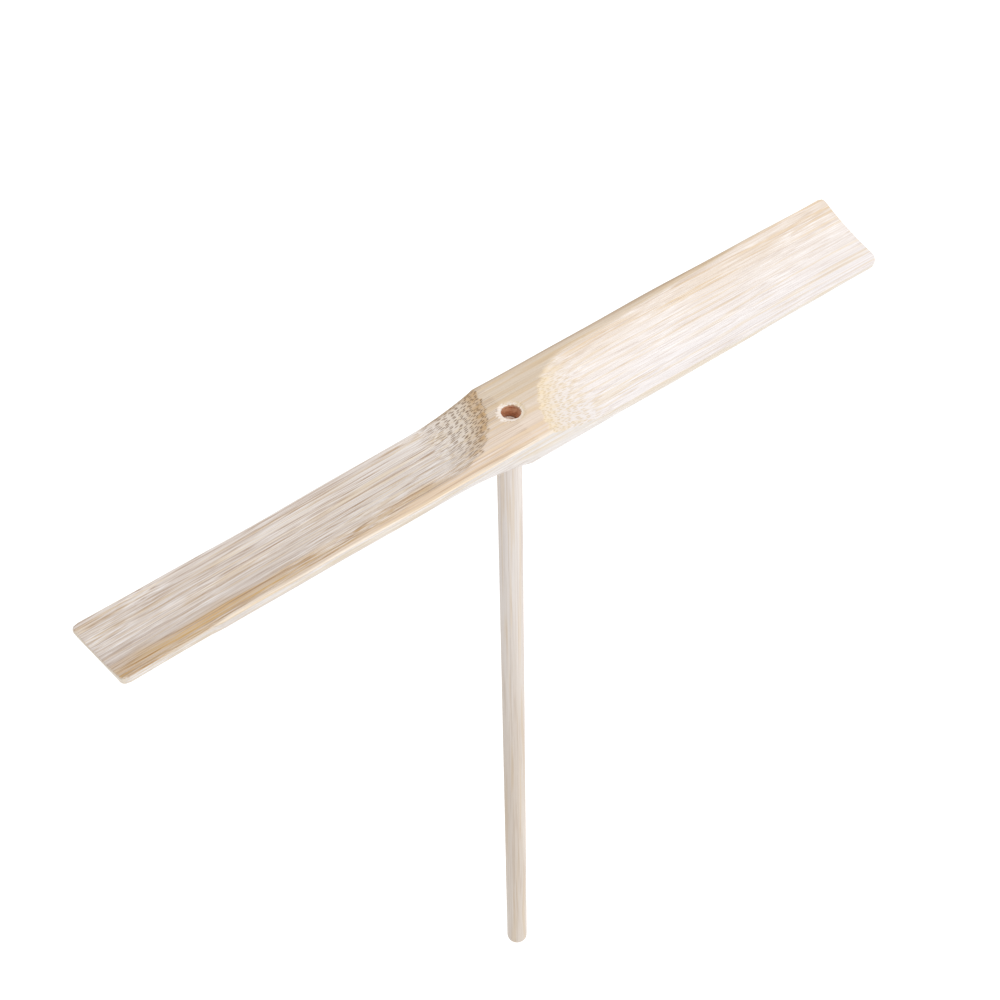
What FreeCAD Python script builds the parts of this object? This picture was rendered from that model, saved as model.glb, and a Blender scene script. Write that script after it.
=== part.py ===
import FreeCAD, Part
import math
import os

import Sketcher

# A bamboo-copter: a flat bamboo blade with two scooped, oppositely pitched wings, pushed onto a round
# stick. Millimetres, +Z up along the spin axis, +X along the blade. The origin is on the spin axis at
# the stick's shoulder, where the underside of the hub rests.

SIZES = [
    ("blade_length", 180.0, "tip to tip, along the middle of the slat"),
    ("blade_width", 19.2, "across the slat"),
    ("hub_thickness", 5.1, "full thickness of the slat, kept at the hub"),
    ("end_skew", 0.6, "how far the end at +X is out of square at each edge, furthest out at the back"),
    ("tip_corner_radius", 1.3, "rounding of three of the slat's corners in plan"),
    ("worn_corner_radius", 3.0, "rounding of the fourth, the low corner of the wing at +X"),
    ("cutter_axle_height", 44.0, "from the slat's face to the axle of the wheel that scoops it"),
    ("cutter_margin", 3.0, "how far the wheel's section reaches past the slat"),
    ("wing_centre", 1.0, "how far the middle between the two wings' cuts lies from the hole, towards +X"),
    ("scoop_start", 19.4, "from that middle to the axle, where the scoop is at full depth"),
    ("scoop_drop", 3.2, "depth of the scoop at a wing's lower edge, below the axle"),
    ("scoop_hollow_radius", 60.0, "hollow of the scoop across the wing"),
    ("scoop_feed_angle", 0.8, "degrees by which the scoop slopes down towards the wing tip"),
    ("underside_rise", 3.1, "depth of the underside's cut at a wing's upper edge"),
    ("underside_hollow_radius", 400.0, "hollow of the underside's cut, which is nearly flat"),
    ("uncut_strip", 2.3, "width left flat beside each cut, below the axle"),
    ("hole_diameter", 3.9, "through hole in the hub"),
    ("hole_mouth_diameter", 5.6, "countersink at the top of the hole"),
    ("hole_mouth_angle", 150.0, "full angle of the countersink, which is shallow"),
    ("stick_diameter", 5.0, "the rod"),
    ("stick_reach", 183.0, "from the shoulder to the lower tip"),
    ("tenon_diameter", 3.8, "turned-down end, a push fit in the hole"),
    ("tenon_length", 2.6, "from the shoulder to the end of the tenon, well below the hub's top"),
    ("tenon_chamfer", 0.4, "lead-in at the end of the tenon"),
    ("tip_rounding", 1.0, "rounding of the stick's lower tip"),
]


def make_sheet(doc):
    sheet = doc.addObject("Spreadsheet::Sheet", "Sizes")
    for row, (alias, value, meaning) in enumerate(SIZES, start=1):
        sheet.set(f"A{row}", alias)
        sheet.set(f"B{row}", str(value))
        sheet.set(f"C{row}", meaning)
        sheet.setAlias(f"B{row}", alias)
    doc.recompute()
    return sheet


def origin_feature(body, role):
    return next(feature for feature in body.Origin.OriginFeatures if feature.Role == role)


def new_sketch(body, name, plane):
    sketch = body.newObject("Sketcher::SketchObject", name)
    sketch.AttachmentSupport = [(origin_feature(body, plane), "")]
    sketch.MapMode = "FlatFace"
    return sketch


def add_lines(sketch, corners):
    """Join the corners in order with lines and return their indices."""
    points = [FreeCAD.Vector(across, up, 0) for across, up in corners]
    lines = [sketch.addGeometry(Part.LineSegment(*ends)) for ends in zip(points, points[1:])]
    for line, following in zip(lines, lines[1:]):
        sketch.addConstraint(Sketcher.Constraint("Coincident", line, 2, following, 1))
    return lines


def place_point(sketch, geometry, end, across=None, up=None):
    """Hold a point at distances from the sketch's origin, each an expression."""
    point = sketch.getPoint(geometry, end)
    for kind, expression, value in (("DistanceX", across, point.x), ("DistanceY", up, point.y)):
        if expression:
            index = sketch.addConstraint(Sketcher.Constraint(kind, -1, 1, geometry, end, value))
            sketch.setExpression(f"Constraints[{index}]", expression)


def level(sketch, *lines):
    for line in lines:
        sketch.addConstraint(Sketcher.Constraint("Horizontal", line))


def upright(sketch, *lines):
    for line in lines:
        sketch.addConstraint(Sketcher.Constraint("Vertical", line))


def edges_where(shape, test):
    """The names of the shape's edges that pass a test, as fillets and chamfers take them."""
    return [f"Edge{number}" for number, edge in enumerate(shape.Edges, start=1) if test(edge)]


def slat_blank(doc, body, sheet):
    """The slat before it is cut: a long flat bar with rounded corners."""
    half_length = sheet.blade_length / 2
    half_width = sheet.blade_width / 2
    outline = new_sketch(body, "SlatOutline", "XY_Plane")
    corners = [(-half_length, -half_width), (half_length - sheet.end_skew, -half_width)]
    corners += [(half_length + sheet.end_skew, half_width), (-half_length, half_width)]
    sides = add_lines(outline, corners + corners[:1])
    outline.addConstraint(Sketcher.Constraint("Coincident", sides[-1], 2, sides[0], 1))
    level(outline, sides[0], sides[2])
    upright(outline, sides[3])
    place_point(outline, sides[0], 1, "-Sizes.blade_length / 2", "-Sizes.blade_width / 2")
    place_point(outline, sides[1], 1, "Sizes.blade_length / 2 - Sizes.end_skew")
    place_point(outline, sides[2], 1, "Sizes.blade_length / 2 + Sizes.end_skew", "Sizes.blade_width / 2")

    pad = body.newObject("PartDesign::Pad", "SlatBlank")
    pad.Profile = outline
    pad.setExpression("Length", "Sizes.hub_thickness")
    doc.recompute()

    def is_corner(edge):
        return math.isclose(edge.BoundBox.ZLength, sheet.hub_thickness)

    def is_worn(edge):
        return edge.BoundBox.XMin > 0 and edge.BoundBox.YMax < 0

    worn = body.newObject("PartDesign::Fillet", "WornCorner")
    worn.Base = (pad, edges_where(pad.Shape, lambda edge: is_corner(edge) and is_worn(edge)))
    worn.setExpression("Radius", "Sizes.worn_corner_radius")
    doc.recompute()

    crisp = body.newObject("PartDesign::Fillet", "CrispCorners")
    crisp.Base = (worn, edges_where(worn.Shape, lambda edge: is_corner(edge) and not is_worn(edge)))
    crisp.setExpression("Radius", "Sizes.tip_corner_radius")
    doc.recompute()
    return crisp


def wheel_section(body, sheet, name, depth, hollow):
    """Section of a wheel cutter on the wing at +X, drawn from the wheel's axle.

    Its working edge is an arc that bulges down, away from the axle. It meets the slat's face at the
    inner side of the uncut strip, and has the full depth at the opposite edge of the slat.
    """
    half_width = sheet.blade_width / 2
    reach = half_width + sheet.cutter_margin
    face = -sheet.cutter_axle_height
    inner = face + sheet.cutter_margin
    strip_side = FreeCAD.Vector(half_width - sheet.uncut_strip, face, 0)
    deep_side = FreeCAD.Vector(-half_width, face - sheet.get(depth), 0)
    radius = sheet.get(hollow)

    chord = strip_side - deep_side
    towards_axle = FreeCAD.Vector(-chord.y, chord.x, 0).normalize()
    centre_distance = math.sqrt(radius**2 - (chord.Length / 2) ** 2)
    centre = (strip_side + deep_side) / 2 + towards_axle * centre_distance

    def on_arc(across):
        return centre.y - math.sqrt(radius**2 - (across - centre.x) ** 2)

    def angle_at(across):
        return math.atan2(on_arc(across) - centre.y, across - centre.x)

    section = new_sketch(body, name, "YZ_Plane")
    circle = Part.Circle(centre, FreeCAD.Vector(0, 0, 1), radius)
    arc = section.addGeometry(Part.ArcOfCircle(circle, angle_at(-reach), angle_at(reach)))
    sides = add_lines(
        section, [(reach, on_arc(reach)), (reach, inner), (-reach, inner), (-reach, on_arc(-reach))]
    )
    section.addConstraint(Sketcher.Constraint("Coincident", arc, 2, sides[0], 1))
    section.addConstraint(Sketcher.Constraint("Coincident", arc, 1, sides[2], 2))
    upright(section, sides[0], sides[2])
    level(section, sides[1])
    side = "Sizes.blade_width / 2 + Sizes.cutter_margin"
    place_point(section, sides[0], 2, side, "Sizes.cutter_margin - Sizes.cutter_axle_height")
    place_point(section, sides[2], 1, f"-({side})")

    for place, across, up in (
        (strip_side, "Sizes.blade_width / 2 - Sizes.uncut_strip", "-Sizes.cutter_axle_height"),
        (deep_side, "-Sizes.blade_width / 2", f"-Sizes.cutter_axle_height - Sizes.{depth}"),
    ):
        mark = section.addGeometry(Part.Point(place), True)
        place_point(section, mark, 1, across, up)
        section.addConstraint(Sketcher.Constraint("PointOnObject", mark, 1, arc))
    curvature = section.addConstraint(Sketcher.Constraint("Radius", arc, radius))
    section.setExpression(f"Constraints[{curvature}]", f"Sizes.{hollow}")
    return section


def cut_wing(doc, body, section, name):
    """Run the wheel along the wing: a round run-out beside the hub, then a straight cut to the tip."""
    run_out = body.newObject("PartDesign::Groove", f"{name}RunOut")
    run_out.Profile = section
    run_out.ReferenceAxis = (section, ["H_Axis"])
    run_out.Angle = 360
    doc.recompute()

    straight = body.newObject("PartDesign::Pocket", f"{name}Straight")
    straight.Profile = section
    straight.Reversed = True
    straight.setExpression("Length", "Sizes.blade_length / 2")
    doc.recompute()
    return [run_out, straight]


def make_blade(doc, sheet):
    body = doc.addObject("PartDesign::Body", "rotor_blade")
    body.Label = "rotor_blade"
    blank = slat_blank(doc, body, sheet)

    scoop = wheel_section(body, sheet, "ScoopWheel", "scoop_drop", "scoop_hollow_radius")
    scoop.AttachmentOffset.Rotation = FreeCAD.Rotation(FreeCAD.Vector(1, 0, 0), 1)
    scoop.setExpression("AttachmentOffset.Base.y", "Sizes.hub_thickness + Sizes.cutter_axle_height")
    scoop.setExpression("AttachmentOffset.Base.z", "Sizes.wing_centre + Sizes.scoop_start")
    scoop.setExpression("AttachmentOffset.Rotation.Angle", "Sizes.scoop_feed_angle")

    # The underside's wheel is the same arrangement turned half a turn about the blade's length.
    under = wheel_section(body, sheet, "UndersideWheel", "underside_rise", "underside_hollow_radius")
    under.AttachmentOffset.Rotation = FreeCAD.Rotation(FreeCAD.Vector(0, 0, 1), 180)
    under.setExpression("AttachmentOffset.Base.y", "-Sizes.cutter_axle_height")
    under.setExpression("AttachmentOffset.Base.z", "Sizes.wing_centre + Sizes.scoop_start")
    doc.recompute()

    cuts = cut_wing(doc, body, scoop, "Scoop") + cut_wing(doc, body, under, "Underside")
    one_wing_cut = cuts[-1].Shape.Volume

    centre = new_sketch(body, "WingCentre", "XY_Plane")
    centre.setExpression("AttachmentOffset.Base.x", "Sizes.wing_centre")
    wings = body.newObject("PartDesign::PolarPattern", "BothWings")
    wings.Originals = cuts
    wings.Axis = (centre, ["N_Axis"])
    wings.Angle = 360
    wings.Occurrences = 2
    body.Tip = wings
    doc.recompute()
    removed_once = blank.Shape.Volume - one_wing_cut
    removed_twice = blank.Shape.Volume - wings.Shape.Volume
    if not math.isclose(removed_twice, 2 * removed_once, rel_tol=0.02):
        raise RuntimeError(f"the wings' cuts differ: {removed_once:.1f} of {removed_twice:.1f} mm3")

    drill_stick_hole(doc, body)
    return body


def drill_stick_hole(doc, body):
    mouth = new_sketch(body, "HoleCentre", "XY_Plane")
    mouth.setExpression("AttachmentOffset.Base.z", "Sizes.hub_thickness")
    circle = mouth.addGeometry(Part.Circle(FreeCAD.Vector(), FreeCAD.Vector(0, 0, 1), 2))
    mouth.addConstraint(Sketcher.Constraint("Coincident", circle, 3, -1, 1))
    size = mouth.addConstraint(Sketcher.Constraint("Diameter", circle, 4))
    mouth.setExpression(f"Constraints[{size}]", "Sizes.hole_diameter")
    doc.recompute()

    hole = body.newObject("PartDesign::Hole", "StickHole")
    hole.Profile = mouth
    hole.DepthType = "ThroughAll"
    hole.HoleCutType = "Countersink"
    hole.setExpression("Diameter", "Sizes.hole_diameter")
    hole.setExpression("HoleCutDiameter", "Sizes.hole_mouth_diameter")
    hole.setExpression("HoleCutCountersinkAngle", "Sizes.hole_mouth_angle")
    body.Tip = hole
    doc.recompute()


def make_stick(doc, sheet):
    body = doc.addObject("PartDesign::Body", "spin_stick")
    body.Label = "spin_stick"
    stick_radius = sheet.stick_diameter / 2
    tenon_radius = sheet.tenon_diameter / 2

    half = new_sketch(body, "StickHalf", "XZ_Plane")
    corners = [(0, -sheet.stick_reach), (stick_radius, -sheet.stick_reach), (stick_radius, 0)]
    corners += [(tenon_radius, 0), (tenon_radius, sheet.tenon_length), (0, sheet.tenon_length)]
    sides = add_lines(half, corners + corners[:1])
    half.addConstraint(Sketcher.Constraint("Coincident", sides[-1], 2, sides[0], 1))
    level(half, sides[0], sides[2], sides[4])
    upright(half, sides[1], sides[3], sides[5])
    half.addConstraint(Sketcher.Constraint("PointOnObject", sides[0], 1, -2))
    half.addConstraint(Sketcher.Constraint("PointOnObject", sides[1], 2, -1))
    place_point(half, sides[0], 2, "Sizes.stick_diameter / 2", "-Sizes.stick_reach")
    place_point(half, sides[3], 2, "Sizes.tenon_diameter / 2", "Sizes.tenon_length")

    rod = body.newObject("PartDesign::Revolution", "Rod")
    rod.Profile = half
    rod.ReferenceAxis = (half, ["V_Axis"])
    rod.Angle = 360
    doc.recompute()

    lead_in = body.newObject("PartDesign::Chamfer", "TenonLeadIn")
    lead_in.Base = (rod, rim_at(rod.Shape, sheet.tenon_length))
    lead_in.setExpression("Size", "Sizes.tenon_chamfer")
    doc.recompute()

    tip = body.newObject("PartDesign::Fillet", "LowerTip")
    tip.Base = (lead_in, rim_at(lead_in.Shape, -sheet.stick_reach))
    tip.setExpression("Radius", "Sizes.tip_rounding")
    body.Tip = tip
    doc.recompute()
    return body


def rim_at(shape, height):
    """The circular edge that lies at a height."""

    def is_rim(edge):
        box = edge.BoundBox
        return math.isclose(box.ZMin, height, abs_tol=1e-6) and math.isclose(box.ZMax, height, abs_tol=1e-6)

    return edges_where(shape, is_rim)


def check_all(doc, bodies):
    for thing in doc.Objects:
        if {"Invalid", "Error"} & set(thing.State):
            raise RuntimeError(f"{thing.Name} failed: {thing.State}")
    for body in bodies:
        shape = body.Shape
        if shape.isNull() or not shape.isValid() or len(shape.Solids) != 1:
            raise RuntimeError(f"{body.Label} is not one valid solid")
        print(f"{body.Label}: {shape.Volume:.1f} mm3, {len(shape.Faces)} faces")


def main():
    doc = FreeCAD.newDocument("BambooCopter")
    sheet = make_sheet(doc)
    bodies = [make_blade(doc, sheet), make_stick(doc, sheet)]
    doc.recompute()
    check_all(doc, bodies)
    os.makedirs("parts", exist_ok=True)
    for body in bodies:
        body.Shape.exportStep(f"parts/{body.Label}.step")


main()
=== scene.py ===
import math
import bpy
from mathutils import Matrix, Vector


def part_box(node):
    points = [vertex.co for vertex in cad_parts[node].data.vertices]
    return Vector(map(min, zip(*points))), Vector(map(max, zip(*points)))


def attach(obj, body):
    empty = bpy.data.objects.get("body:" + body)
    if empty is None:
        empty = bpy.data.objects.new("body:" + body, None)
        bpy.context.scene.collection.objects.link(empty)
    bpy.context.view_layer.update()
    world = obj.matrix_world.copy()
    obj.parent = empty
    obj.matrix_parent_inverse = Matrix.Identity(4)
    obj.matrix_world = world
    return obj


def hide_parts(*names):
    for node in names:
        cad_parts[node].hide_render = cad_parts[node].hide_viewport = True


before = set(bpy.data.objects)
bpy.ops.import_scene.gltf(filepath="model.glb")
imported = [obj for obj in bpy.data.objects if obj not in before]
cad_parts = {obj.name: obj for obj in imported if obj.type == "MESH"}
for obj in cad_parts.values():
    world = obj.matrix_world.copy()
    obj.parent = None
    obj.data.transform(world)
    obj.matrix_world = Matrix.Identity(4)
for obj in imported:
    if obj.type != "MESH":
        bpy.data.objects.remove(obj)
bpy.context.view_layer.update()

from types import SimpleNamespace

import bmesh
import bpy
import numpy as np
from mathutils import Matrix, Vector, noise

# A bamboo-copter: a scooped bamboo blade on a round bamboo stick. Metres, in the CAD part's frame: the
# spin axis is Z, the blade lies along X, and z = 0 is the underside of the hub.

MM = 0.001

blade_low, blade_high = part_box("rotor_blade")
stick_low, stick_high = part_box("spin_stick")

LENGTH = -2 * blade_low.x
WIDTH = blade_high.y - blade_low.y
THICKNESS = blade_high.z - blade_low.z

# The end at +X is out of square: each of its edges stands out or back by this much.
END_SKEW = 0.6 * MM

# The wheel cuts that shape the wings, with the CAD part's sizes.
AXLE_HEIGHT = 44 * MM
WING_CENTRE = 1.0 * MM
WING_START = 19.4 * MM
UNCUT_STRIP = 2.3 * MM
SCOOP = {"depth": 3.2 * MM, "hollow": 60 * MM, "feed": math.radians(0.8)}
UNDERSIDE = {"depth": 3.1 * MM, "hollow": 400 * MM, "feed": 0.0}

CORNER_RADIUS = 1.3 * MM
WORN_CORNER_RADIUS = 3.0 * MM
SANDED_EDGE = 0.3 * MM
SANDED_SHARE_OF_THIN_EDGE = 0.45
SANDED_CREASE = 0.06 * MM
GRAIN_RELIEF = 0.03 * MM

# The scoops' borders are torn along the fibres, as far down as the border's depth.
BORDER_TEAR = 0.22 * MM
BORDER_DEPTH = 0.35 * MM

# The slat's sides wander a little, as trimming by hand leaves them. Each side has waves with a length, a
# height and a phase. The front side of the wing at -X also has one shallow nick.
FRONT_WAVES = ((56 * MM, 0.05 * MM, 0.4), (21 * MM, 0.03 * MM, 2.0))
BACK_WAVES = ((64 * MM, 0.11 * MM, 0.6), (27 * MM, 0.04 * MM, 1.0))
NICK_DEPTH = 0.28 * MM
NICK_START = (-89 * MM, -75 * MM)
NICK_END = (-72.5 * MM, -69.5 * MM)

# The hole's mouth leans towards +X above the stick's tenon, and the drill tore the face round it.
HOLE_RADIUS = 1.95 * MM
HOLE_EXIT_ROUNDING = 0.15 * MM
BORE_SCORING = 0.03 * MM
MOUTH_RADIUS = 2.8 * MM
MOUTH_SLOPE = math.radians(15)
MOUTH_LEAN = 0.6 * MM
MOUTH_RAGGEDNESS = 0.10 * MM
EXIT_RAGGEDNESS = 0.04 * MM
FACE_TEAR = 0.11 * MM
FACE_TEAR_FADE = (2.3 * MM, 3.3 * MM)

STICK_RADIUS = (stick_high.x - stick_low.x) / 2
STICK_RELIEF = 0.05 * MM
TENON_RADIUS = 1.9 * MM
TENON_LEAD_IN = 0.4 * MM
SHOULDER_EDGE = 0.15 * MM
TIP_ROUNDING = 1.0 * MM

# How fine the meshes are. The blade is a grid, with its own step in a square patch round the hole, over
# the hub, along the wings and across, and it has rows on its side, rings round the hole, and rows down it.
HOLE_PATCH = 4.0 * MM
PATCH_STEP = 0.2 * MM
HUB_END = 24 * MM
HUB_STEP = 0.22 * MM
WING_STEP = 1.2 * MM
STEP_ACROSS = 0.17 * MM
SIDE_ROWS = 9
RING_ROWS = 24
BORE_ROWS = 16

STICK_COLUMNS = 112
STICK_ROW_STEP = 1.5 * MM
STICK_RELIEF_WAVES = (3, 7, 11, 16, 23, 31)
STICK_RELIEF_DRIFT = 60 * MM

random = np.random.default_rng(7)


# ---------------------------------------------------------------- shape of the blade


def profile_depth(across, depth, hollow):
    """How far the wheel's edge hangs below the slat's face, at a place across the wing at +X."""
    strip_side = np.array([WIDTH / 2 - UNCUT_STRIP, 0.0])
    deep_side = np.array([-WIDTH / 2, -depth])
    chord = strip_side - deep_side
    half_chord = np.hypot(*chord) / 2
    towards_axle = np.array([-chord[1], chord[0]]) / (2 * half_chord)
    centre = (strip_side + deep_side) / 2 + towards_axle * math.sqrt(hollow**2 - half_chord**2)
    return np.sqrt(hollow**2 - (across - centre[0]) ** 2) - centre[1]


def wheel_cut(along, across, depth, hollow, feed):
    """How deep the wheel cuts the wing at +X: a round run-out beside the hub, then straight to the tip."""
    reach = AXLE_HEIGHT + profile_depth(across, depth, hollow)
    lean = reach * math.sin(feed)
    run_out = np.sqrt(np.maximum(reach**2 - (along - WING_START) ** 2, 0)) - AXLE_HEIGHT
    straight = reach * math.cos(feed) - AXLE_HEIGHT + (along - WING_START + lean) * math.tan(feed)
    return np.where(along < WING_START - lean, run_out, straight)


def smooth_step(value, low, high):
    """A smooth step from 0 to 1 as the value goes from low to high."""
    t = np.clip((value - low) / (high - low), 0, 1)
    return t * t * (3 - 2 * t)


def soft_positive(value):
    """The value where it is positive and otherwise zero, with a sanded crease between."""
    return (value + np.sqrt(value**2 + SANDED_CREASE**2)) / 2


def both_wings(x, y, wheel):
    """How deep the wheel cuts both wings, of which one is the other turned half a turn."""
    x = x - WING_CENTRE
    return np.maximum(wheel_cut(x, y, **wheel), wheel_cut(-x, -y, **wheel))


def top_height(x, y):
    """The face with its two scoops, whose borders tear along the fibres."""
    cut = both_wings(x, y, SCOOP)
    tear = BORDER_TEAR * BORDER_RIPPLES(x, y) * np.exp(-((cut / BORDER_DEPTH) ** 2))
    return THICKNESS - soft_positive(cut + tear)


def bottom_height(x, y):
    """The underside with its two cuts, each under a scoop and at about the same slant."""
    return soft_positive(both_wings(x, -y, UNDERSIDE))


class Ripples:
    """Low waves across the fibres that drift slowly along them, as split and planed bamboo has."""

    DRIFT_TURN = 1.3

    def __init__(self, waves, shortest, longest, drift):
        self.wave_length = np.geomspace(shortest, longest, waves)
        self.phase = random.uniform(0, 2 * math.pi, waves)
        self.drift_length = random.uniform(0.6, 1.6, waves) * drift
        self.drift_phase = random.uniform(0, 2 * math.pi, waves)

    def __call__(self, along, across):
        along = np.asarray(along)[..., None]
        across = np.asarray(across)[..., None]
        drift = self.DRIFT_TURN * np.sin(2 * math.pi * along / self.drift_length + self.drift_phase)
        waves = np.sin(2 * math.pi * across / self.wave_length + self.phase + drift)
        return (waves * self.wave_length).sum(-1) / self.wave_length.sum()


TOP_RIPPLES = Ripples(waves=9, shortest=0.55 * MM, longest=3.2 * MM, drift=70 * MM)
BOTTOM_RIPPLES = Ripples(waves=9, shortest=0.55 * MM, longest=3.2 * MM, drift=70 * MM)
BORDER_RIPPLES = Ripples(waves=6, shortest=0.5 * MM, longest=2.4 * MM, drift=30 * MM)


def sanded(distance, radius):
    """How far an edge's rounding drops the surface, at a distance from the rim."""
    inside = np.clip(radius - distance, 0, radius)
    return radius - np.sqrt(radius**2 - inside**2)


def blade_face(x, y, rim_distance, upper):
    """Heights of the blade's upper or lower face. Where the blade is thin, so is its edge's rounding."""
    top, bottom = top_height(x, y), bottom_height(x, y)
    drop = sanded(rim_distance, np.minimum(SANDED_EDGE, SANDED_SHARE_OF_THIN_EDGE * (top - bottom)))
    if upper:
        return top - drop - GRAIN_RELIEF * (1 + TOP_RIPPLES(x, y)) / 2
    return bottom + drop + GRAIN_RELIEF * (1 + BOTTOM_RIPPLES(x, y)) / 2


def rounded_plan(x, y):
    """Move the grid's places near the slat's corners inwards, so that its rim follows the round corners.

    Returns the new places, with the end at +X skewed, and their distances from the rim.
    """
    radius = np.where((x > 0) & (y < 0), WORN_CORNER_RADIUS, CORNER_RADIUS)
    a = np.clip((np.abs(x) - LENGTH / 2) / radius + 1, 0, 1)
    b = np.clip((np.abs(y) - WIDTH / 2) / radius + 1, 0, 1)
    in_corner = (a > 0) & (b > 0)
    a_round = a * np.sqrt(1 - b**2 / 2)
    b_round = b * np.sqrt(1 - a**2 / 2)
    x_corner = np.sign(x) * (LENGTH / 2 - radius * (1 - a_round))
    y_corner = np.sign(y) * (WIDTH / 2 - radius * (1 - b_round))
    straight_distance = np.minimum(LENGTH / 2 - np.abs(x), WIDTH / 2 - np.abs(y))
    distance = np.where(in_corner, radius * (1 - np.hypot(a_round, b_round)), straight_distance)
    x, y = np.where(in_corner, x_corner, x), np.where(in_corner, y_corner, y)
    towards_end = np.clip(x / (LENGTH / 2), 0, 1) ** 4
    skewed = x + END_SKEW * towards_end * y / (WIDTH / 2)
    return np.minimum(skewed, blade_high.x), y, distance


def trimmed_sides(x, y):
    """Bring the slat's sides in by a few tenths of a millimetre here and there."""
    front, back = (
        sum(height * (1 + np.sin(2 * math.pi * x / length + phase)) for length, height, phase in waves)
        for waves in (FRONT_WAVES, BACK_WAVES)
    )
    nick = smooth_step(x, *NICK_START) * (1 - smooth_step(x, *NICK_END))
    inset = np.where(y < 0, front + NICK_DEPTH * nick, back)
    return y - np.sign(y) * inset * smooth_step(np.abs(y), WIDTH / 4, WIDTH / 2)


# ---------------------------------------------------------------- mesh building


class MeshParts:
    """Points and faces of one mesh, gathered as grids of quads."""

    def __init__(self):
        self.points = []
        self.faces = []
        self.slots = []
        self.count = 0

    def add(self, points):
        """Add points, an array of any shape by 3, and return their numbers in that shape."""
        points = np.asarray(points, float)
        flat = points.reshape(-1, 3)
        numbers = np.arange(self.count, self.count + len(flat)).reshape(points.shape[:-1])
        self.points.append(flat)
        self.count += len(flat)
        return numbers

    def fill(self, numbers, slot=0, wrap=False, keep=None):
        """Fill a grid of point numbers with quads."""
        if wrap:
            numbers = np.concatenate([numbers, numbers[:, :1]], axis=1)
        quads = np.stack([numbers[:-1, :-1], numbers[1:, :-1], numbers[1:, 1:], numbers[:-1, 1:]], axis=-1)
        quads = quads[keep] if keep is not None else quads.reshape(-1, 4)
        self.faces += quads.tolist()
        self.slots += [slot] * len(quads)

    def fan(self, centre, ring):
        """Join a ring of points to a centre point with triangles."""
        for number, following in zip(ring, np.roll(ring, -1)):
            self.faces.append([int(centre), int(number), int(following)])
            self.slots.append(0)

    def build(self, name, materials, sharp_angle):
        """The mesh as an object, without the points that no face uses."""
        points = np.concatenate(self.points)
        used = np.unique(np.concatenate([np.asarray(face) for face in self.faces]))
        new_number = np.full(len(points), -1)
        new_number[used] = np.arange(len(used))
        faces = [[int(new_number[number]) for number in face] for face in self.faces]
        mesh = bpy.data.meshes.new(name)
        mesh.from_pydata(points[used].tolist(), [], faces)
        for material in materials:
            mesh.materials.append(material)
        mesh.polygons.foreach_set("material_index", self.slots)
        editor = bmesh.new()
        editor.from_mesh(mesh)
        bmesh.ops.recalc_face_normals(editor, faces=editor.faces)
        editor.to_mesh(mesh)
        editor.free()
        mesh.shade_smooth()
        mesh.set_sharp_from_angle(angle=sharp_angle)
        piece = bpy.data.objects.new(name, mesh)
        bpy.context.scene.collection.objects.link(piece)
        return piece


def stretch(start, end, step):
    """Evenly spaced places from start to end, about a step apart, without the end itself."""
    return np.linspace(start, end, max(1, round((end - start) / step)), endpoint=False)


def grid_lines(half_size, *stretches):
    """Places of a grid's lines, the same on both sides of 0. The outermost few lie on the sanded edge."""
    edge = half_size - SANDED_EDGE * (1 - np.sin(np.linspace(0, math.pi / 2, 5)))
    half = np.concatenate([stretch(*part) for part in stretches] + [edge])
    return np.concatenate([-half[:0:-1], half])


def rim_of(numbers):
    """The point numbers round the rim of a grid, in order."""
    return np.concatenate([numbers[:-1, 0], numbers[-1, :-1], numbers[:0:-1, -1], numbers[0, :0:-1]])


def torn(x, y):
    """Raggedness of the wood where the drill broke out, from -1 to 1, drawn out along the fibres."""
    places = zip(np.ravel(x) / MM, np.ravel(y) / MM)
    rough = [noise.fractal(Vector((a * 1.6, b * 4.5, 2.0)), 0.6, 2.1, 4) for a, b in places]
    return np.clip(np.array(rough).reshape(np.shape(x)), -1, 1)


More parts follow.
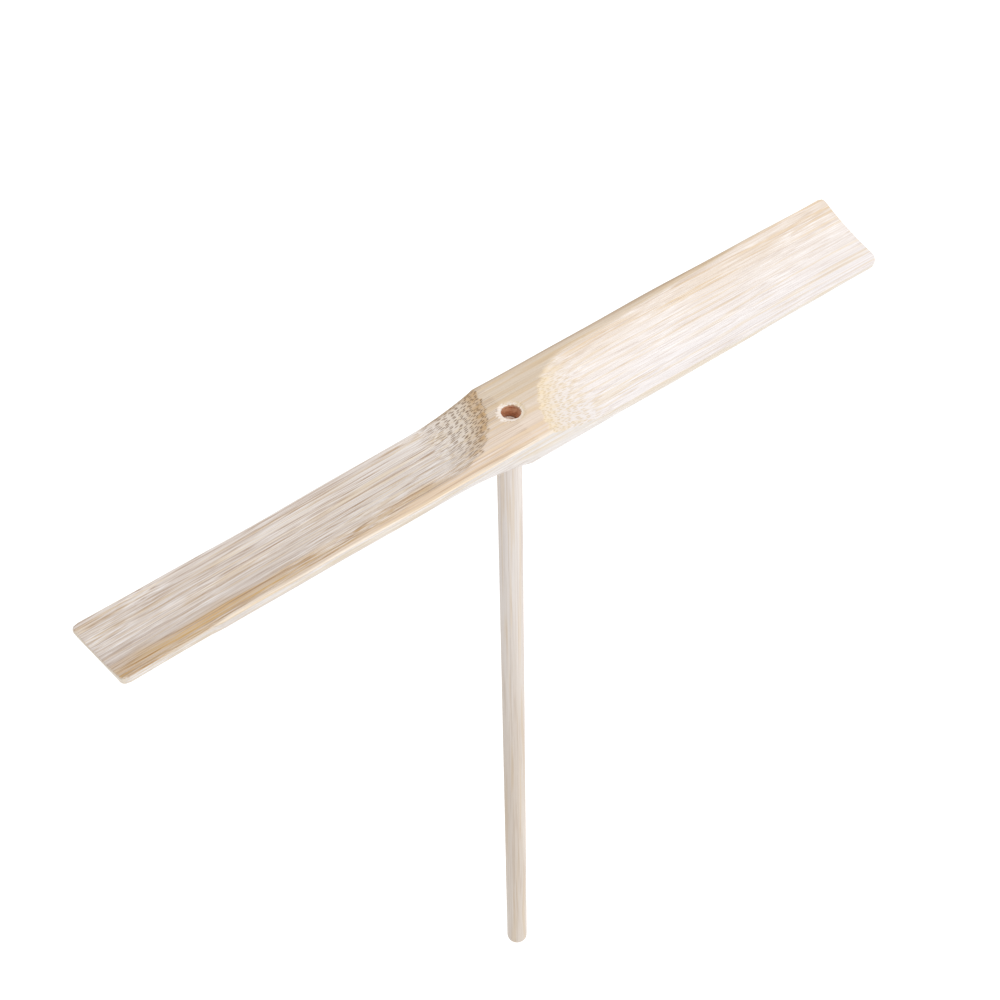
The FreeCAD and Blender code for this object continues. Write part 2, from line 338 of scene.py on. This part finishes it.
def make_blade(materials):
    """The blade as one closed mesh: two faces, the side wall, the hole's mouth and its bore."""
    along = grid_lines(
        LENGTH / 2,
        (0, HOLE_PATCH, PATCH_STEP),
        (HOLE_PATCH, HUB_END, HUB_STEP),
        (HUB_END, LENGTH / 2 - SANDED_EDGE, WING_STEP),
    )
    across = grid_lines(
        WIDTH / 2, (0, HOLE_PATCH, PATCH_STEP), (HOLE_PATCH, WIDTH / 2 - SANDED_EDGE, STEP_ACROSS)
    )
    patch_limit = HOLE_PATCH + 0.01 * MM
    in_patch_x = np.abs(along) <= patch_limit
    in_patch_y = np.abs(across) <= patch_limit
    cell_in_x = in_patch_x[:-1] & in_patch_x[1:]
    cell_in_y = in_patch_y[:-1] & in_patch_y[1:]
    outside_patch = ~(cell_in_x[:, None] & cell_in_y[None, :])
    patch_corner = np.ix_(in_patch_x, in_patch_y)

    x, y, rim_distance = rounded_plan(*np.meshgrid(along, across, indexing="ij"))
    y = trimmed_sides(x, y)
    parts = MeshParts()
    rims, throats = [], []
    for upper in (True, False):
        height = blade_face(x, y, rim_distance, upper)
        face = parts.add(np.stack([x, y, height], axis=-1))
        parts.fill(face, keep=outside_patch)
        rims.append(rim_of(face))
        square = rim_of(face[patch_corner])
        square_x, square_y = (rim_of(value[patch_corner]) for value in (x, y))
        rings = hole_rings(square_x, square_y, upper)
        ring_numbers = parts.add(rings)
        parts.fill(np.concatenate([square[None], ring_numbers]), wrap=True)
        throats.append((ring_numbers[-1], rings[-1]))

    points = np.concatenate(parts.points)
    wall_rows = np.linspace(0, 1, SIDE_ROWS)[1:-1, None, None]
    wall = parts.add(points[rims[0]] * (1 - wall_rows) + points[rims[1]] * wall_rows)
    parts.fill(np.concatenate([rims[0][None], wall, rims[1][None]]), wrap=True)

    (mouth, mouth_points), (exit_ring, exit_points) = throats
    bore = parts.add(bore_wall(mouth_points, exit_points))
    parts.fill(np.concatenate([mouth[None], bore, exit_ring[None]]), slot=1, wrap=True)
    return parts.build("bamboo_blade", materials, sharp_angle=math.radians(50))


def hole_rings(square_x, square_y, upper):
    """Rings of points from a square round the hole in to the hole, on the upper or lower face.

    The rings crowd towards the hole. The torn face round the mouth is mostly sunken.
    """
    angle = np.arctan2(square_y, square_x)
    share = (1 - (1 - np.linspace(0, 1, RING_ROWS)) ** 1.3)[1:, None]
    raggedness = MOUTH_RAGGEDNESS if upper else EXIT_RAGGEDNESS
    rim_radius = HOLE_RADIUS + raggedness * torn(HOLE_RADIUS * np.cos(angle), HOLE_RADIUS * np.sin(angle))
    lean = MOUTH_LEAN if upper else 0.0
    x = square_x * (1 - share) + (lean + rim_radius * np.cos(angle)) * share
    y = square_y * (1 - share) + rim_radius * np.sin(angle) * share
    far_from_rim = 1.0
    height = blade_face(x, y, far_from_rim, upper)
    radius = np.hypot(x - lean, y)
    if not upper:
        return np.stack([x, y, height + sanded(radius - HOLE_RADIUS, HOLE_EXIT_ROUNDING)], axis=-1)
    dish = np.clip(MOUTH_RADIUS - radius, 0, None) * math.tan(MOUTH_SLOPE)
    tear = FACE_TEAR * (torn(x - lean, y) - 0.45) * (1 - smooth_step(radius, *FACE_TEAR_FADE))
    return np.stack([x, y, np.minimum(height - dish + tear, THICKNESS)], axis=-1)


def bore_wall(mouth_points, exit_points):
    """Rows of points down the hole, from its leaning mouth to its exit, crowding towards the mouth."""
    rows = (np.linspace(0, 1, BORE_ROWS) ** 1.4)[1:-1, None, None]
    wall = mouth_points * (1 - rows) + exit_points * rows
    down, z = rows[..., 0], wall[..., 2]
    angle = np.arctan2(exit_points[:, 1], exit_points[:, 0])
    radius = np.hypot(wall[..., 0] - MOUTH_LEAN * (1 - down), wall[..., 1])
    scored = HOLE_RADIUS + BORE_SCORING * torn(3 * MM * np.cos(angle), z * 2 + 0 * angle)
    settled = smooth_step(down, 0, 0.15)
    radius = radius * (1 - settled) + scored * settled
    lean = MOUTH_LEAN * smooth_step(z, stick_high.z, THICKNESS)
    return np.stack([radius * np.cos(angle) + lean, radius * np.sin(angle), z], axis=-1)


def make_stick(materials):
    """The stick as one closed mesh, turned about Z, with the grain's relief on the rod."""
    angle = np.linspace(0, 2 * math.pi, STICK_COLUMNS, endpoint=False)
    tip, top = stick_low.z, stick_high.z
    quarter = np.linspace(0, math.pi / 2, 6)
    profile = [((STICK_RADIUS - TIP_ROUNDING) * share, tip) for share in (0.35, 0.7)]
    profile += [
        (STICK_RADIUS - TIP_ROUNDING * (1 - math.sin(turn)), tip + TIP_ROUNDING * (1 - math.cos(turn)))
        for turn in quarter
    ]
    profile += [(STICK_RADIUS, z) for z in stretch(tip + TIP_ROUNDING, -SHOULDER_EDGE, STICK_ROW_STEP)[1:]]
    profile += [
        (STICK_RADIUS - SHOULDER_EDGE * (1 - math.cos(turn)), -SHOULDER_EDGE * (1 - math.sin(turn)))
        for turn in quarter
    ]
    profile += [(TENON_RADIUS, 0), (TENON_RADIUS, top / 2), (TENON_RADIUS, top - TENON_LEAD_IN)]
    profile += [((TENON_RADIUS - TENON_LEAD_IN) * share, top) for share in (1, 0.7, 0.35)]
    radius, z = (np.array(values)[:, None] for values in zip(*profile))

    relief = np.zeros((len(profile), STICK_COLUMNS))
    for waves in STICK_RELIEF_WAVES:
        phase, drift_phase = random.uniform(0, 2 * math.pi, 2)
        drift = 0.8 * np.sin(2 * math.pi * z / STICK_RELIEF_DRIFT + drift_phase)
        relief += (1 + np.sin(waves * angle + phase + drift)) / 2 / len(STICK_RELIEF_WAVES)
    radius = radius - STICK_RELIEF * relief * radius / STICK_RADIUS

    parts = MeshParts()
    rings = parts.add(np.stack([radius * np.cos(angle), radius * np.sin(angle), z + 0 * radius], axis=-1))
    parts.fill(rings, wrap=True)
    for ring, height in ((rings[0], tip), (rings[-1], top)):
        parts.fan(parts.add([0, 0, height]), ring)
    return parts.build("bamboo_stick", materials, sharp_angle=math.radians(40))


# ---------------------------------------------------------------- materials


class Graph:
    """Adds shader nodes and wires them, so that a material reads like a formula."""

    def __init__(self, name):
        self.material = bpy.data.materials.new(name)
        self.material.use_nodes = True
        self.nodes = self.material.node_tree.nodes
        self.links = self.material.node_tree.links
        self.nodes.clear()

    def feed(self, socket, value):
        if isinstance(value, bpy.types.NodeSocket):
            self.links.new(value, socket)
        else:
            socket.default_value = value

    def millimetres(self):
        """The place in the piece itself, in millimetres."""
        place = self.nodes.new("ShaderNodeVectorMath")
        place.operation = "SCALE"
        place.inputs["Scale"].default_value = 1 / MM
        self.feed(place.inputs[0], self.nodes.new("ShaderNodeTexCoord").outputs["Object"])
        return place.outputs[0]

    def normal(self):
        return self.nodes.new("ShaderNodeNewGeometry").outputs["Normal"]

    def math(self, operation, *values):
        node = self.nodes.new("ShaderNodeMath")
        node.operation = operation
        for socket, value in zip(node.inputs, values):
            self.feed(socket, value)
        return node.outputs[0]

    def product(self, first, *others):
        for other in others:
            first = self.math("MULTIPLY", first, other)
        return first

    def linear(self, value, slope, start):
        return self.math("MULTIPLY_ADD", value, slope, start)

    def size(self, value):
        return self.math("ABSOLUTE", value)

    def vector(self, *values):
        node = self.nodes.new("ShaderNodeCombineXYZ")
        for socket, value in zip(node.inputs, values):
            self.feed(socket, value)
        return node.outputs[0]

    def split(self, vector):
        node = self.nodes.new("ShaderNodeSeparateXYZ")
        self.feed(node.inputs[0], vector)
        return node.outputs

    def step(self, value, low, high, start=0.0, end=1.0):
        """A smooth step from start to end as the value goes from low to high, or down from low to high."""
        node = self.nodes.new("ShaderNodeMapRange")
        node.interpolation_type = "SMOOTHSTEP"
        for socket, number in zip(node.inputs, (value, low, high, start, end)):
            self.feed(socket, number)
        return node.outputs[0]

    def fall(self, value, low, high):
        """A smooth step from 1 down to 0 as the value goes from low to high."""
        return self.step(value, low, high, 1.0, 0.0)

    def mix(self, factor, first, second, blend="MIX"):
        node = self.nodes.new("ShaderNodeMix")
        node.data_type = "RGBA"
        node.blend_type = blend
        self.feed(node.inputs[0], factor)
        self.feed(node.inputs[6], first)
        self.feed(node.inputs[7], second)
        return node.outputs[2]

    def stain(self, factor, base, tint):
        """The base colour, multiplied by a tint as far as the factor says."""
        return self.mix(factor, base, self.mix(1.0, base, tint, "MULTIPLY"))

    def noise(self, vector, detail=2.0):
        node = self.nodes.new("ShaderNodeTexNoise")
        self.feed(node.inputs["Vector"], vector)
        self.feed(node.inputs["Scale"], 1.0)
        self.feed(node.inputs["Detail"], detail)
        self.feed(node.inputs["Roughness"], 0.5)
        return node.outputs["Fac"]

    def cells(self, vector, randomness):
        """Distance to the nearest of a flat pattern's scattered points, and that point's random value."""
        node = self.nodes.new("ShaderNodeTexVoronoi")
        node.voronoi_dimensions = "2D"
        self.feed(node.inputs["Vector"], vector)
        self.feed(node.inputs["Scale"], 1.0)
        self.feed(node.inputs["Randomness"], randomness)
        return node.outputs["Distance"], self.split(node.outputs["Color"])[0]

    def finish(self, colour, roughness, height, relief, **uniform):
        """The material, with bump and one shader. In a uniform value's name, _ stands for a space."""
        shader = self.nodes.new("ShaderNodeBsdfPrincipled")
        bump = self.nodes.new("ShaderNodeBump")
        bump.inputs["Distance"].default_value = relief
        self.feed(bump.inputs["Height"], height)
        self.feed(shader.inputs["Normal"], bump.outputs[0])
        self.feed(shader.inputs["Base Color"], colour)
        self.feed(shader.inputs["Roughness"], roughness)
        return self.output(shader, **uniform)

    def output(self, shader, **uniform):
        """The material, showing a shader whose uniform values are set on its own sockets."""
        for name, value in uniform.items():
            shader.inputs[name.replace("_", " ")].default_value = value
        output = self.nodes.new("ShaderNodeOutputMaterial")
        self.links.new(shader.outputs[0], output.inputs["Surface"])
        return self.material


class Fibres:
    """Solid bamboo texture in millimetres: streaks and vascular bundles that run along one axis."""

    SWAY = 1.4
    SWAY_LENGTH = 70
    SWAY_WIDTH = 16
    BUNDLE_LENGTH = 14
    HALF_CONTRAST = 0.22

    def __init__(self, graph, along, across, depth):
        self.graph = graph
        self.along, self.across, self.depth = along, across, depth
        slow = graph.noise(self.place(self.scaled(along, self.SWAY_LENGTH), self.SWAY_WIDTH))
        sway = graph.linear(slow, self.SWAY, -self.SWAY / 2)
        self.across = graph.math("ADD", across, sway)
        self.depth = graph.math("ADD", depth, sway)

    def scaled(self, value, size):
        return self.graph.math("DIVIDE", value, size)

    def place(self, along, width):
        """A place in a texture whose features are a width across."""
        return self.graph.vector(along, self.scaled(self.across, width), self.scaled(self.depth, width))

    def drawn_out(self, width, length, seed):
        """A place in a texture whose features are a width across and a length along the fibres."""
        return self.place(self.graph.linear(self.along, 1 / length, seed), width)

    def streak(self, width, length, seed, detail=2.0):
        """Soft streaks from 0 to 1, about a width across and a length along the fibres."""
        noise = self.graph.noise(self.drawn_out(width, length, seed), detail)
        return self.graph.step(noise, 0.5 - self.HALF_CONTRAST, 0.5 + self.HALF_CONTRAST)

    def lines(self, spacing, length, seed, thickness):
        """Thin crisp lines, 1 on a line and 0 beside it: where a soft noise crosses its middle value."""
        noise = self.graph.noise(self.drawn_out(spacing, length, seed), 1.0)
        return self.graph.fall(self.graph.size(self.graph.math("SUBTRACT", noise, 0.5)), 0.0, thickness)

    def bundles(self, pitch_across, pitch_depth, inner, outer, faintest):
        """Vascular bundles: 1 in a bundle and 0 between, each fading to the faintest along its length."""
        g = self.graph
        flat = g.vector(self.scaled(self.across, pitch_across), self.scaled(self.depth, pitch_depth), 0.0)
        distance, own = g.cells(flat, randomness=0.65)
        fade = g.noise(g.vector(self.scaled(self.along, self.BUNDLE_LENGTH), g.product(own, 60), 0.0), 1.0)
        strength = g.linear(g.step(fade, 0.30, 0.55), 1 - faintest, faintest)
        return g.product(g.fall(distance, inner, outer), strength)


def colour(red, green, blue):
    """A linear colour from the usual 0 to 255 values."""
    values = [value / 255 for value in (red, green, blue)]
    return [v / 12.92 if v <= 0.04045 else ((v + 0.055) / 1.055) ** 2.4 for v in values] + [1.0]


# The blade's colours. Left is the wing at -X, and right is the one at +X, whose scoop colours are paler by
# painted sheen.
FACE_FRONT = colour(226, 208, 191)
FACE_BACK = colour(206, 189, 168)
FRONT_RIM_HIGHLIGHT = colour(240, 226, 208)
LEFT_DARK = colour(203, 190, 180)
LEFT_LIGHT = colour(219, 208, 200)
LEFT_BACK_LIT = colour(227, 218, 210)
LEFT_NEAR_HUB = colour(232, 225, 219)
RIGHT_FRONT_SHEENED = colour(231, 225, 224)
RIGHT_BACK = colour(225, 212, 200)
RIGHT_STREAK_SHEENED = colour(227, 219, 216)
SIDE_WALL = colour(225, 219, 214)
TAN_BAND_AND_SHADE = colour(206, 172, 118)
WARM_TINT = colour(252, 236, 200)
BROWN_TINT = colour(200, 176, 150)
DUSKY_TINT = colour(198, 175, 154)
PAINTED_SHEEN = colour(246, 242, 241)
# The run-outs, their borders and their dashes are shaded copies at -X and lit copies at +X: painted shade
# where the run-out faces away from the lamps, painted light where it faces them.
SHADED_LEFT_RUN_OUT = colour(217, 201, 177)
LIT_RIGHT_RUN_OUT = colour(226, 213, 197)
SHADED_LEFT_BORDER = colour(194, 158, 112)
LIT_RIGHT_BORDER = colour(231, 212, 182)
SHADED_LEFT_DASH = colour(116, 86, 60)
LIT_RIGHT_DASH = colour(210, 186, 146)
END_FACE = colour(236, 223, 204)
BACK_EDGE_SHADE = colour(166, 140, 112)
TORN_RING = colour(240, 231, 223)

BORE_DARK = colour(172, 104, 70)
BORE_LIGHT = colour(216, 164, 130)
BORE_BLOTCH = colour(222, 172, 138)
BORE_MOUTH = colour(226, 196, 168)

ROD_DARK = colour(219, 210, 203)
ROD_LIGHT = colour(229, 222, 217)
ROD_WARM_TINT = colour(248, 236, 214)
ROD_LOWER_TINT = colour(243, 238, 230)
ROD_LINE_TINT = colour(216, 196, 172)
ROD_END_GRAIN = colour(214, 196, 180)
ROD_BUNDLE = colour(150, 118, 88)


def blade_zones(g, x, y, z):
    """Where on the blade the surface is: masks from 0 to 1, and distances in millimetres."""
    normal_x, normal_y, normal_z = g.split(g.normal())
    steep = g.size(normal_x)
    from_hub = g.size(x)
    from_face = g.math("MINIMUM", g.math("SUBTRACT", THICKNESS / MM, z), z)
    strip_border = WIDTH / MM / 2 - UNCUT_STRIP / MM
    run_out = g.product(g.step(steep, 0.02, 0.30), g.fall(from_hub, 50, 60))
    return SimpleNamespace(
        from_hub=from_hub,
        from_face=from_face,
        from_strip=g.math("SUBTRACT", strip_border, g.product(y, g.math("SIGN", x))),
        cut=g.step(from_face, 0.04, 0.30),
        right=g.step(x, -0.5, 0.5),
        run_out=run_out,
        calm=g.linear(run_out, -0.8, 1.0),
        crossing=g.product(g.step(steep, 0.01, 0.20), g.fall(from_hub, 45, 60)),
        end_face=g.step(steep, 0.3, 0.8),
        side_wall=g.step(g.size(normal_y), 0.45, 0.75),
        facing_up=g.step(normal_z, 0.3, 0.7),
    )


def blade_base(g, x, y, at, broad, medium):
    """The wood's broad colours: the old face with a painted highlight on its front rim, the two scoops with
    painted sheen and light, the side wall and the tan band with its painted shade.
    """
    face = g.mix(g.step(y, -8, 6), FACE_FRONT, FACE_BACK)
    # A painted highlight along the front rim of the old face.
    face = g.mix(g.step(y, -8.2, -9.2), face, FRONT_RIM_HIGHLIGHT)
    left_scoop = g.mix(broad, LEFT_DARK, LEFT_LIGHT)
    # The scoop at -X is painted lighter towards its back: painted light where its slope faces the lamps
    # more.
    left_scoop = g.mix(g.step(y, -4, 5, 0.0, 0.45), left_scoop, LEFT_BACK_LIT)
    left_scoop = g.mix(g.step(x, -70, -25, 0.0, 0.5), left_scoop, LEFT_NEAR_HUB)
    # The scoop at +X is painted paler than the one at -X: painted sheen, as the wing at +X faces the lamps.
    # Its colour darkens towards the back.
    right_scoop = g.mix(g.step(y, -7, 6), RIGHT_FRONT_SHEENED, RIGHT_BACK)
    right_scoop = g.mix(g.product(broad, 0.5), right_scoop, RIGHT_STREAK_SHEENED)
    wood = g.mix(at.cut, face, g.mix(at.right, left_scoop, right_scoop))
    wood = g.mix(g.product(at.side_wall, 0.85), wood, SIDE_WALL)

    # The tan band lies along the scoop's border with the uncut strip: partly the wood's own tint and partly
    # painted shade on the steep slope beside the strip. Its width wanders along the wing.
    wander = g.linear(g.noise(g.vector(g.math("DIVIDE", x, 9), 4.0, 0.0)), 4.0, -2.2)
    band = g.product(
        g.fall(g.math("ADD", at.from_strip, wander), 0.2, 4.2),
        g.step(at.from_hub, 8, 26),
        at.cut,
        g.linear(at.right, -0.7, 0.95),
        g.linear(medium, 0.6, 0.5),
        at.facing_up,
    )
    return g.mix(band, wood, TAN_BAND_AND_SHADE)


def blade_streaks(g, x, y, at, wood, medium, fine, hair, thread, sheen_patches):
    """Adds the streaks: yellowish ones, brown lines, and whitish streaks of painted sheen that come and go
    in patches.
    """
    plain_wall = g.linear(at.side_wall, -0.7, 1.0)
    wood = g.stain(g.product(g.step(medium, 0.50, 0.85), 0.5), wood, WARM_TINT)
    lines = g.product(g.step(fine, 0.55, 0.95), g.linear(at.right, -0.30, 0.40), at.calm, plain_wall)
    wood = g.stain(lines, wood, BROWN_TINT)
    on_cut = g.linear(at.cut, 0.6, 0.4)
    threads = g.product(thread, g.linear(at.right, -0.52, 0.85), at.calm, on_cut, plain_wall)
    wood = g.stain(threads, wood, DUSKY_TINT)

    # One patch of painted sheen fills the middle of the outer half of the wing at -X.
    from_middle = g.size(g.math("SUBTRACT", y, 1.8))
    sheen = g.product(g.fall(x, -58, -44), g.fall(from_middle, 1.0, 3.5))
    sheen_patches = g.math("MAXIMUM", sheen_patches, g.product(sheen, 0.9))
    sheen_streaks = g.product(
        g.step(hair, 0.50, 0.90), g.linear(sheen_patches, 0.75, 0.08), g.linear(at.cut, 0.75, 0.25), at.calm
    )
    return g.mix(sheen_streaks, wood, PAINTED_SHEEN)


def blade_run_outs(g, at, wood, medium, dot):
    """Adds the run-outs' colour and dashes, with painted shade at -X and painted light at +X, and the end
    faces.

    Bundles show as long lines where the surface runs with the fibres and as dashes where it crosses
    them. The cut is brownest where it has only just broken the old face.
    """
    wood = g.mix(
        g.product(at.run_out, g.linear(at.right, -0.2, 0.55)),
        wood,
        g.mix(at.right, SHADED_LEFT_RUN_OUT, LIT_RIGHT_RUN_OUT),
    )
    just_cut = g.product(g.step(at.from_face, 0.02, 0.10), g.fall(at.from_face, 0.2, 1.7))
    border = g.product(just_cut, at.run_out, g.linear(medium, 0.4, 0.55))
    wood = g.mix(border, wood, g.mix(at.right, SHADED_LEFT_BORDER, LIT_RIGHT_BORDER))
    wood = g.mix(g.product(at.end_face, 0.8), wood, END_FACE)
    strength = g.linear(at.crossing, 0.74, g.linear(at.end_face, -0.10, 0.10))
    strength = g.product(strength, g.linear(at.right, -0.25, 1.0))
    return g.mix(g.product(dot, strength), wood, g.mix(at.right, SHADED_LEFT_DASH, LIT_RIGHT_DASH))


def blade_marks(g, x, y, wood):
    """Adds painted shade along the back edge and the pale ring round the hole's mouth."""
    # The back edge of the hub and of the wing at +X is painted brown as shade, on the rounded edge that
    # faces away from the lamps.
    back_edge = g.product(g.step(y, 8.3, 9.4), g.fall(x, 50, 78), g.step(x, -15, -9))
    wood = g.mix(g.product(back_edge, 0.8), wood, BACK_EDGE_SHADE)

    # The ring of torn fibres is round the stick's axis, so it is widest where the mouth leans away.
    from_axis = g.math("SQRT", g.math("ADD", g.product(x, x), g.product(y, y)))
    tear = g.noise(g.vector(g.product(x, 1.1), g.product(y, 3.0), 0.0), 3.0)
    ring = g.fall(g.linear(tear, -2.6, g.math("ADD", from_axis, 1.3)), 2.1, 2.7)
    return g.mix(g.product(ring, 0.75), wood, TORN_RING)


def blade_material():
    """The blade's bamboo, from its broad colours to its streaks, cut fibres and marks."""
    g = Graph("split_bamboo")
    x, y, z = g.split(g.millimetres())
    fibres = Fibres(g, x, y, z)
    broad = fibres.streak(width=3.0, length=70, seed=3.1)
    medium = fibres.streak(width=0.7, length=36, seed=17.3)
    fine = fibres.streak(width=0.20, length=40, seed=31.7, detail=3.0)
    hair = fibres.streak(width=0.14, length=8, seed=47.9)
    thread = fibres.lines(spacing=0.40, length=80, seed=83.3, thickness=0.065)
    sheen_patches = fibres.streak(width=6.0, length=22, seed=61.3)
    dot = fibres.bundles(pitch_across=0.40, pitch_depth=0.35, inner=0.20, outer=0.37, faintest=0.65)

    at = blade_zones(g, x, y, z)
    wood = blade_base(g, x, y, at, broad, medium)
    wood = blade_streaks(g, x, y, at, wood, medium, fine, hair, thread, sheen_patches)
    wood = blade_run_outs(g, at, wood, medium, dot)
    wood = blade_marks(g, x, y, wood)

    height = g.product(g.math("ADD", g.product(fine, 0.35), g.product(hair, 0.25)), at.calm)
    pits = g.product(dot, g.linear(at.run_out, 0.5, 0.08))
    height = g.product(g.math("SUBTRACT", height, pits), g.linear(at.end_face, -0.8, 1.0))
    roughness = g.linear(medium, 0.10, 0.34)
    return g.finish(wood, roughness, height, relief=0.05 * MM, Specular_IOR_Level=0.5)


def bore_material():
    """The hole's wall, brown with rings round it, and pale near its mouth."""
    g = Graph("drilled_bamboo")
    x, y, z = g.split(g.millimetres())
    rings = g.noise(g.vector(g.product(x, 0.5), g.product(y, 0.5), g.product(z, 5.5)), 3.0)
    blotch = g.noise(g.vector(x, y, z))
    wall = g.mix(g.step(rings, 0.3, 0.7), BORE_DARK, BORE_LIGHT)
    wall = g.mix(g.step(blotch, 0.35, 0.65), wall, BORE_BLOTCH)
    wall = g.mix(g.step(z, THICKNESS / MM - 0.9, THICKNESS / MM - 0.2), wall, BORE_MOUTH)
    return g.finish(wall, 0.8, rings, relief=0.05 * MM, Specular_IOR_Level=0.2)


def stick_material():
    """Split bamboo turned to a rod, a little browner towards its lower tip."""
    g = Graph("bamboo_rod")
    x, y, z = g.split(g.millimetres())
    end_grain = g.step(g.size(g.split(g.normal())[2]), 0.3, 0.8)
    fibres = Fibres(g, z, x, y)
    broad = fibres.streak(width=2.6, length=60, seed=5.3)
    medium = fibres.streak(width=1.0, length=40, seed=23.1)
    fine = fibres.streak(width=0.42, length=24, seed=37.7, detail=3.0)
    dot = fibres.bundles(pitch_across=0.50, pitch_depth=0.50, inner=0.18, outer=0.33, faintest=0.3)

    wood = g.mix(broad, ROD_DARK, ROD_LIGHT)
    wood = g.stain(g.product(g.step(medium, 0.55, 0.95), 0.5), wood, ROD_WARM_TINT)
    wood = g.stain(g.step(z, -20, -125), wood, ROD_LOWER_TINT)
    wood = g.stain(g.product(g.step(fine, 0.60, 0.98), 0.28), wood, ROD_LINE_TINT)
    wood = g.mix(g.product(end_grain, 0.5), wood, ROD_END_GRAIN)
    wood = g.mix(g.product(dot, g.linear(end_grain, 0.5, 0.14)), wood, ROD_BUNDLE)

    height = g.math("SUBTRACT", g.product(fine, 0.5), g.product(dot, g.product(end_grain, 0.6)))
    roughness = g.linear(medium, 0.12, 0.46)
    return g.finish(wood, roughness, height, relief=0.04 * MM, Specular_IOR_Level=0.35)


# ---------------------------------------------------------------- pieces

blade = make_blade([blade_material(), bore_material()])
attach(blade, "blade")
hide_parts("rotor_blade")

stick = make_stick([stick_material()])
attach(stick, "stick")
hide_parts("spin_stick")


# ---------------------------------------------------------------- stage


LAMP_DISTANCE = 1.5
FLOOR_HALF = 8.0
FLOOR_BELOW_TIP = 0.25
WHITE = (1, 1, 1, 1)


def make_floor():
    half, height = FLOOR_HALF, stick_low.z - FLOOR_BELOW_TIP
    mesh = bpy.data.meshes.new("floor")
    corners = [(-half, -half, height), (half, -half, height), (half, half, height), (-half, half, height)]
    mesh.from_pydata(corners, [], [(0, 1, 2, 3)])
    g = Graph("floor_white")
    material = g.output(
        g.nodes.new("ShaderNodeBsdfPrincipled"),
        Base_Color=(0.92, 0.92, 0.92, 1),
        Roughness=0.9,
        Specular_IOR_Level=0.1,
        Emission_Color=WHITE,
        Emission_Strength=0.3,
    )
    mesh.materials.append(material)
    floor = bpy.data.objects.new("floor", mesh)
    bpy.context.scene.collection.objects.link(floor)


def aimed(name, data, target, azimuth, elevation, distance, roll=0.0):
    """Place a light or camera round a target. Azimuth 0 is at -Y, and 90 degrees is at +X."""
    azimuth, elevation, roll = (math.radians(value) for value in (azimuth, elevation, roll))
    outward = Vector(
        (
            math.sin(azimuth) * math.cos(elevation),
            -math.cos(azimuth) * math.cos(elevation),
            math.sin(elevation),
        )
    )
    thing = bpy.data.objects.new(name, data)
    turn = outward.to_track_quat("Z", "Y").to_matrix().to_4x4() @ Matrix.Rotation(roll, 4, "Z")
    thing.matrix_world = Matrix.Translation(Vector(target) + outward * distance) @ turn
    bpy.context.scene.collection.objects.link(thing)
    return thing


def make_lights():
    for name, size, azimuth, elevation in (("front", 1.5, 20, 30), ("overhead", 0.7, 112, 63)):
        lamp = bpy.data.lights.new(name, "AREA")
        lamp.size = size
        lamp.energy = 9
        aimed(name, lamp, (0, 0, 0), azimuth, elevation, LAMP_DISTANCE)
    world = bpy.data.worlds.new("studio")
    world.use_nodes = True
    background = world.node_tree.nodes["Background"]
    background.inputs["Color"].default_value = WHITE
    background.inputs["Strength"].default_value = 0.62
    bpy.context.scene.world = world


def make_camera():
    camera = bpy.data.cameras.new("camera")
    camera.sensor_width = 36
    camera.lens = 74.74
    target = (-1.58 * MM, 1.19 * MM, -19.18 * MM)
    bpy.context.scene.camera = aimed(
        "camera", camera, target, azimuth=-36.97, elevation=47.28, distance=0.4091, roll=-1.23
    )


make_floor()
make_lights()
make_camera()
bpy.context.scene.view_settings.view_transform = "Standard"
